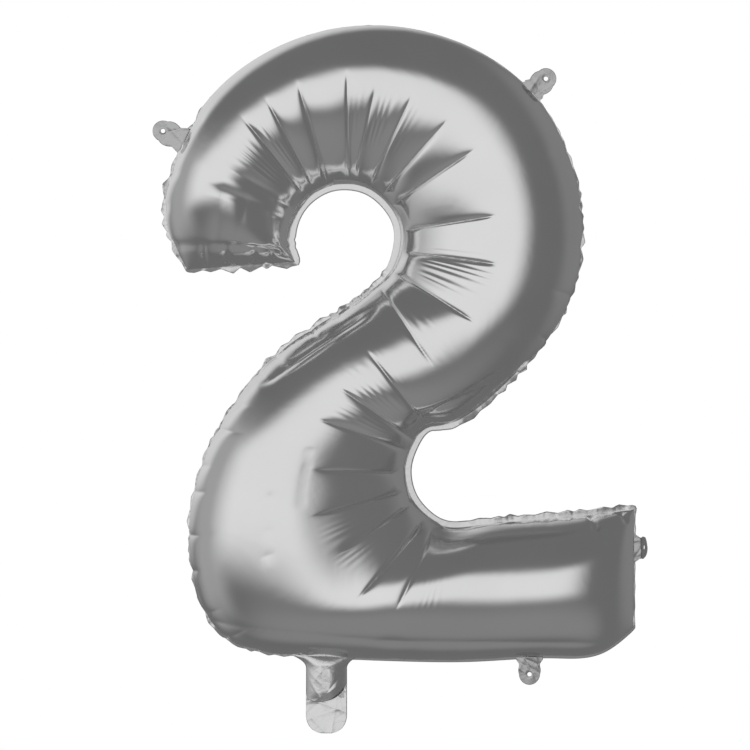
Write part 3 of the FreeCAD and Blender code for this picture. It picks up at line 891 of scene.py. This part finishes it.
def neck_front_piece():
    random = np.random.default_rng(15)
    column = np.linspace(-1, 1, NECK_COLUMNS)[None, :]
    right = np.clip((column - LIP_LOWEST_AT) / (1 - LIP_LOWEST_AT), 0, 1)
    left = np.clip((LIP_LOWEST_AT - column) / (1 + LIP_LOWEST_AT), 0, 1)
    lip = LIP_Z + LIP_RIGHT * right ** 2 + LIP_LEFT * left ** 2
    share = np.linspace(0, 1, 64)[:, None] ** 0.9
    z = NECK_TOP + (lip - NECK_TOP) * share
    x = NECK_X + neck_half_width(z) * column * 0.985
    opening = smoothstep(-0.12, 0.24, share)
    rolled = 1 - 0.18 * smoothstep(0.78, 1.02, share)
    bow = MOUTH_DEPTH * (1 - column ** 2) ** 0.75 * (0.18 + 0.82 * opening) * rolled
    folds = crinkle(random, x - NECK_X, z + 0.80, 0.030, 10, 0.0006, 0.0024)
    folds += 0.0016 * between(column, -0.3, -0.1, -0.1, 0.15) * opening
    folds = np.minimum(folds, 0.0005)        # the foil never folds back into the valve film behind it
    free = (1 - column ** 6) * smoothstep(0.12, 0.3, share)
    y = 0.0004 - 0.0012 * (1 - column ** 2) - bow + folds * free
    ids = np.arange(x.size).reshape(x.shape)
    piece = new_mesh_object("neck_foil_front", np.stack([x, y, z], -1).reshape(-1, 3), grid_faces(ids))
    thicken(piece, LAYER)
    return piece


neck_back = neck_back_piece()
neck_front = neck_front_piece()
for piece, nodes in ((neck_back, ["neck_back_foil"]), (neck_front, ["neck_front_foil", "neck_side_welds"])):
    piece.data.materials.append(NECK_FOIL)
    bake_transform(piece)
    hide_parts(*nodes)

# ------------------------------------------------------------------ what rides on what

for piece, node in ((front_foil, "front_panel"), (back_foil, "back_panel")):
    piece.data.materials.append(SILVER)
    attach(piece, "envelope")
    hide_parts(node)
welded_rim.data.materials.append(RIM_FOIL)
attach(welded_rim, "envelope")
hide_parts("perimeter_seam")
for name in ("valve_front_film", "valve_back_film", "valve_side_welds", "valve_mouth_front_film",
             "valve_mouth_back_film"):
    film = frame["nodes"][name].data
    film.materials.clear()
    # the front mouth film takes the dark copy of the film, which is painted shade
    film.materials.append(SHADED_MOUTH_FILM if name == "valve_mouth_front_film" else FILM)

# ------------------------------------------------------------------ studio light, floor and camera

BASE_LIGHT = 0.205


def studio_world():
    """White behind; a soft box in front, a panel on the left, a light up behind and a low fill from below."""
    world = bpy.data.worlds.new("studio")
    bpy.context.scene.world = world
    world.use_nodes = True
    nodes, links = world.node_tree.nodes, world.node_tree.links
    nodes.clear()
    place = nodes.new("ShaderNodeTexCoord")
    split = nodes.new("ShaderNodeSeparateXYZ")
    links.new(place.outputs["Generated"], split.inputs[0])

    def calculate(operation, *values):
        node = nodes.new("ShaderNodeMath")
        node.operation = operation
        for socket, value in zip(node.inputs, values):
            if isinstance(value, (int, float)):
                socket.default_value = value
            else:
                links.new(value, socket)
        return node.outputs[0]

    def step(value, low, high):
        ramp = nodes.new("ShaderNodeMapRange")
        ramp.interpolation_type = "SMOOTHSTEP"
        ramp.inputs["From Min"].default_value = low
        ramp.inputs["From Max"].default_value = high
        links.new(value, ramp.inputs["Value"])
        return ramp.outputs["Result"]

    backwards = calculate("MULTIPLY", split.outputs["Y"], -1.0)
    azimuth = calculate("ARCTAN2", split.outputs["X"], backwards)
    elevation = calculate("ARCSINE", split.outputs["Z"])

    def soft_box(across, upright, brightness):
        """across and upright are four angles in degrees: dark, lit, lit, dark."""
        parts = []
        for value, corners in ((azimuth, across), (elevation, upright)):
            first, second, third, fourth = (math.radians(corner) for corner in corners)
            parts.append(step(value, first, second))
            parts.append(calculate("SUBTRACT", 1.0, step(value, third, fourth)))
        level = parts[0]
        for part in parts[1:]:
            level = calculate("MULTIPLY", level, part)
        return calculate("MULTIPLY", level, brightness)

    def lobe(direction, inner, outer, brightness):
        dot = nodes.new("ShaderNodeVectorMath")
        dot.operation = "DOT_PRODUCT"
        dot.inputs[1].default_value = Vector(direction).normalized()
        links.new(place.outputs["Generated"], dot.inputs[0])
        level = step(dot.outputs["Value"], math.cos(math.radians(outer)), math.cos(math.radians(inner)))
        return calculate("MULTIPLY", level, brightness)

    lights = [
        soft_box((-88, -46, 8, 33), (-23, -5, 20, 34), 0.82),
        soft_box((-150, -105, -82, -48), (-60, -15, 26, 40), 0.28),
        lobe((-0.40, 0.82, 0.42), 14, 42, 0.65),
        lobe((0.05, -0.50, -0.86), 8, 48, 0.11),
        lobe((1.0, 0.55, 0.25), 20, 50, 0.08),
    ]
    light = BASE_LIGHT
    for source in lights:
        light = calculate("ADD", source, light)
    lit = nodes.new("ShaderNodeBackground")
    links.new(light, lit.inputs["Strength"])
    seen = nodes.new("ShaderNodeBackground")
    seen.inputs["Color"].default_value = (1, 1, 1, 1)
    path = nodes.new("ShaderNodeLightPath")
    plain = calculate("MAXIMUM", path.outputs["Is Camera Ray"], path.outputs["Is Diffuse Ray"])
    mix = nodes.new("ShaderNodeMixShader")
    links.new(plain, mix.inputs["Fac"])
    links.new(lit.outputs[0], mix.inputs[1])
    links.new(seen.outputs[0], mix.inputs[2])
    out = nodes.new("ShaderNodeOutputWorld")
    links.new(mix.outputs[0], out.inputs["Surface"])


studio_world()

FLOOR_HALF = 1.5
FLOOR_X = -0.2             # the floor's middle
FLOOR_Z = -1.30
corners = [(-1, -1), (1, -1), (1, 1), (-1, 1)]
floor_points = [(FLOOR_X + FLOOR_HALF * x, FLOOR_HALF * y, FLOOR_Z) for x, y in corners]
floor = new_mesh_object("studio_floor", floor_points, [(0, 1, 2, 3)], False)
floor.data.materials.append(floor_material())
floor.visible_glossy = False

scene = bpy.context.scene
scene.view_settings.view_transform = "Standard"

VIEW_WIDTH = 1.005          # metres across the picture at the numeral's plane
VIEW_X = -0.229             # the picture's middle
VIEW_Z = -0.397
LENS = 85.0
SENSOR = 36.0
camera_data = bpy.data.cameras.new("camera")
camera_data.lens = LENS
camera_data.sensor_width = SENSOR
camera = bpy.data.objects.new("camera", camera_data)
scene.collection.objects.link(camera)
distance = VIEW_WIDTH * LENS / SENSOR
camera.location = (VIEW_X, -distance, VIEW_Z)
camera.rotation_euler = (math.radians(90), 0, 0)
scene.camera = camera
